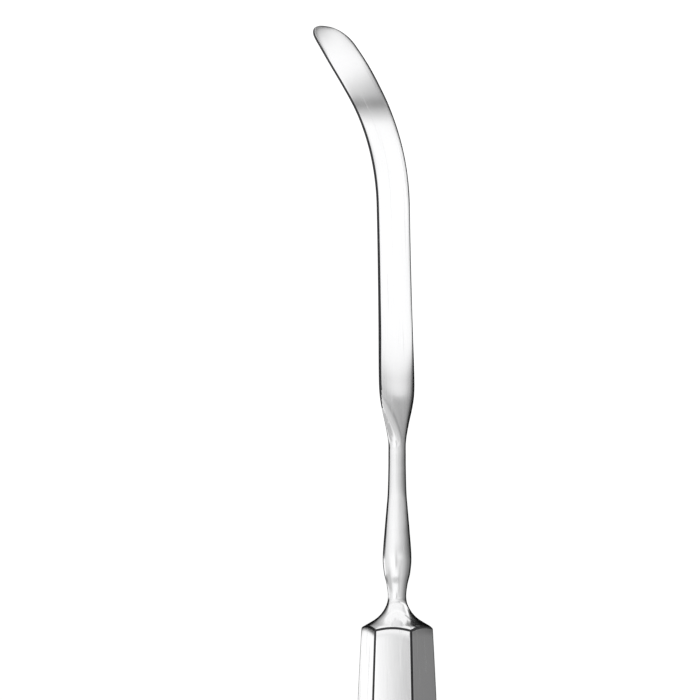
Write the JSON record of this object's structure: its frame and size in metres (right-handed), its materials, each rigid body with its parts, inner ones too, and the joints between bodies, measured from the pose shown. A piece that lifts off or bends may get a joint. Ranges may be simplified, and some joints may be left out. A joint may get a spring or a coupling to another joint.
{
  "type": "dental periosteal elevator",
  "caption": "Slim steel elevator with a thin, round-ended bent blade on a turned neck and a hollow hexagonal handle.",
  "frame": {"origin": "centre of the flat on the handle's butt end", "axes": "+Z along the handle's axis from the butt to the blade; the blade's width lies along Y and its end bends towards -X"},
  "size_m": [0.0152, 0.0108, 0.1706],
  "materials": {
    "polished_steel": "fine satin polish, ground along the blade",
    "satin_steel": "satin, brushed along the handle",
    "turned_steel": "as turned",
    "braze_filler": "silver braze, as flowed"
  },
  "bodies": {
    "root": {"blade_shank": "polished_steel", "handle_shell_front": "satin_steel", "handle_shell_back": "satin_steel", "front_plug": "turned_steel", "tang_pin": "turned_steel", "tang_bush": "turned_steel", "butt_plug": "satin_steel", "bolster_braze_ring": "braze_filler", "plug_braze_ring": "braze_filler", "butt_braze_ring": "braze_filler", "seam_braze_left": "braze_filler", "seam_braze_right": "braze_filler"}
  },
  "joints": []
}
